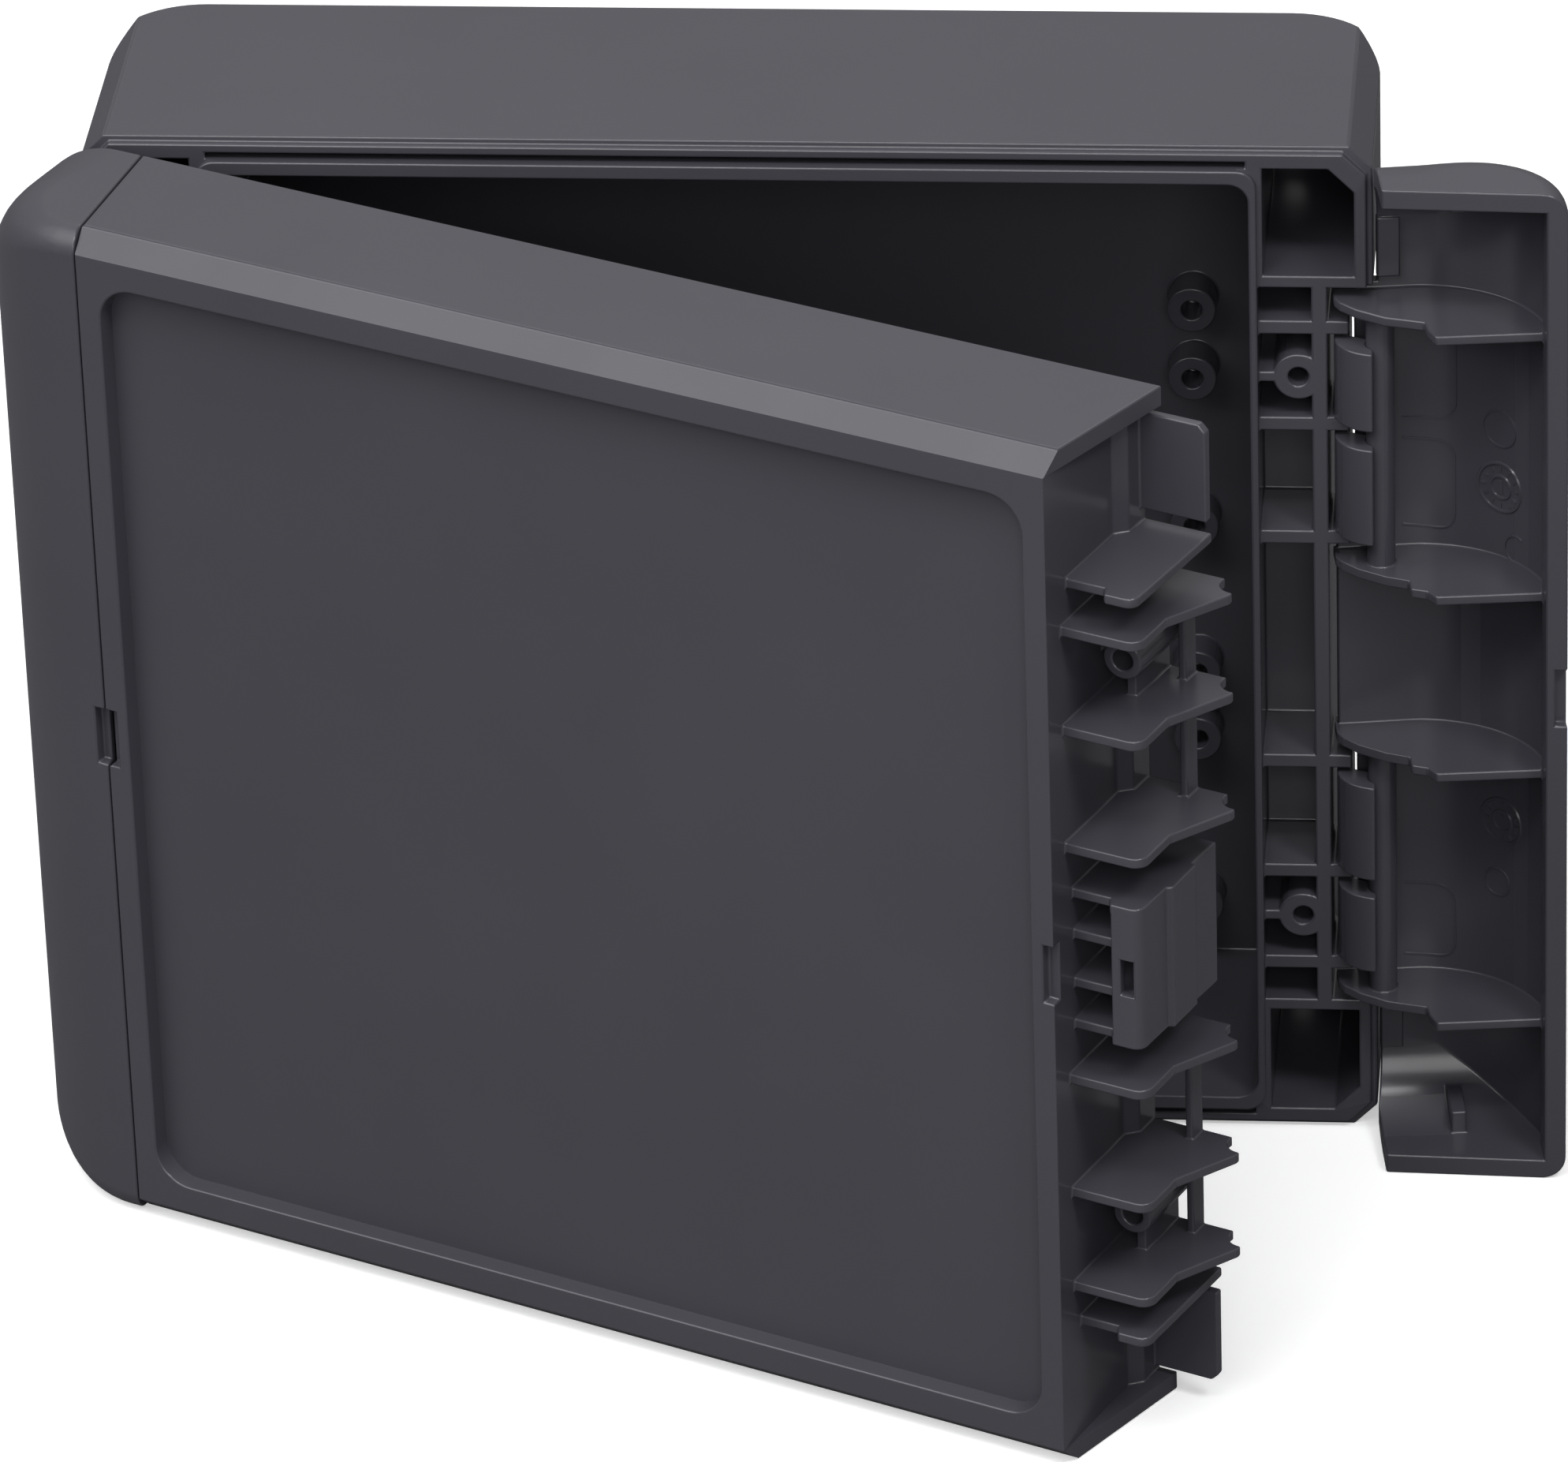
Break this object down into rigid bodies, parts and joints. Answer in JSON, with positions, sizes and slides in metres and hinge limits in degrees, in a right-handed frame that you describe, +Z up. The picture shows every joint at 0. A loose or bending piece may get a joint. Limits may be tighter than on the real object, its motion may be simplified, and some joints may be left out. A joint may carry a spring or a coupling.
{
  "type": "hinged plastic wall enclosure",
  "caption": "Rectangular moulded plastic wall enclosure: deep base, hinged lid with recessed front panel, and snap-in cover strips that swing on clips along both sides.",
  "frame": {"origin": "centre of the flat back that lies on the wall", "axes": "+X to the right seen from the front, +Y into the wall, +Z up"},
  "size_m": [0.3041, 0.1896, 0.22],
  "materials": {
    "housing_plastic": "graphite grey, fine satin texture",
    "gasket_rubber": "soft foam, dull black"
  },
  "bodies": {
    "base": {"base": "housing_plastic"},
    "lid": {"lid": "housing_plastic", "lid_gasket": "gasket_rubber", "left_cover_strip": "housing_plastic"},
    "right_cover_strip": {"right_cover_strip": "housing_plastic"}
  },
  "joints": [
    {"name": "lid_swing", "type": "hinge", "parent": "base", "child": "lid", "pos_m": [-0.127, -0.0621, 0], "axis": [0, 0, 1], "range_deg": [-73.7, 24.3]},
    {"name": "right_strip_swing", "type": "hinge", "parent": "base", "child": "right_cover_strip", "pos_m": [0.127, -0.0621, 0], "axis": [0, 0, 1], "range_deg": [-98, 0]}
  ]
}
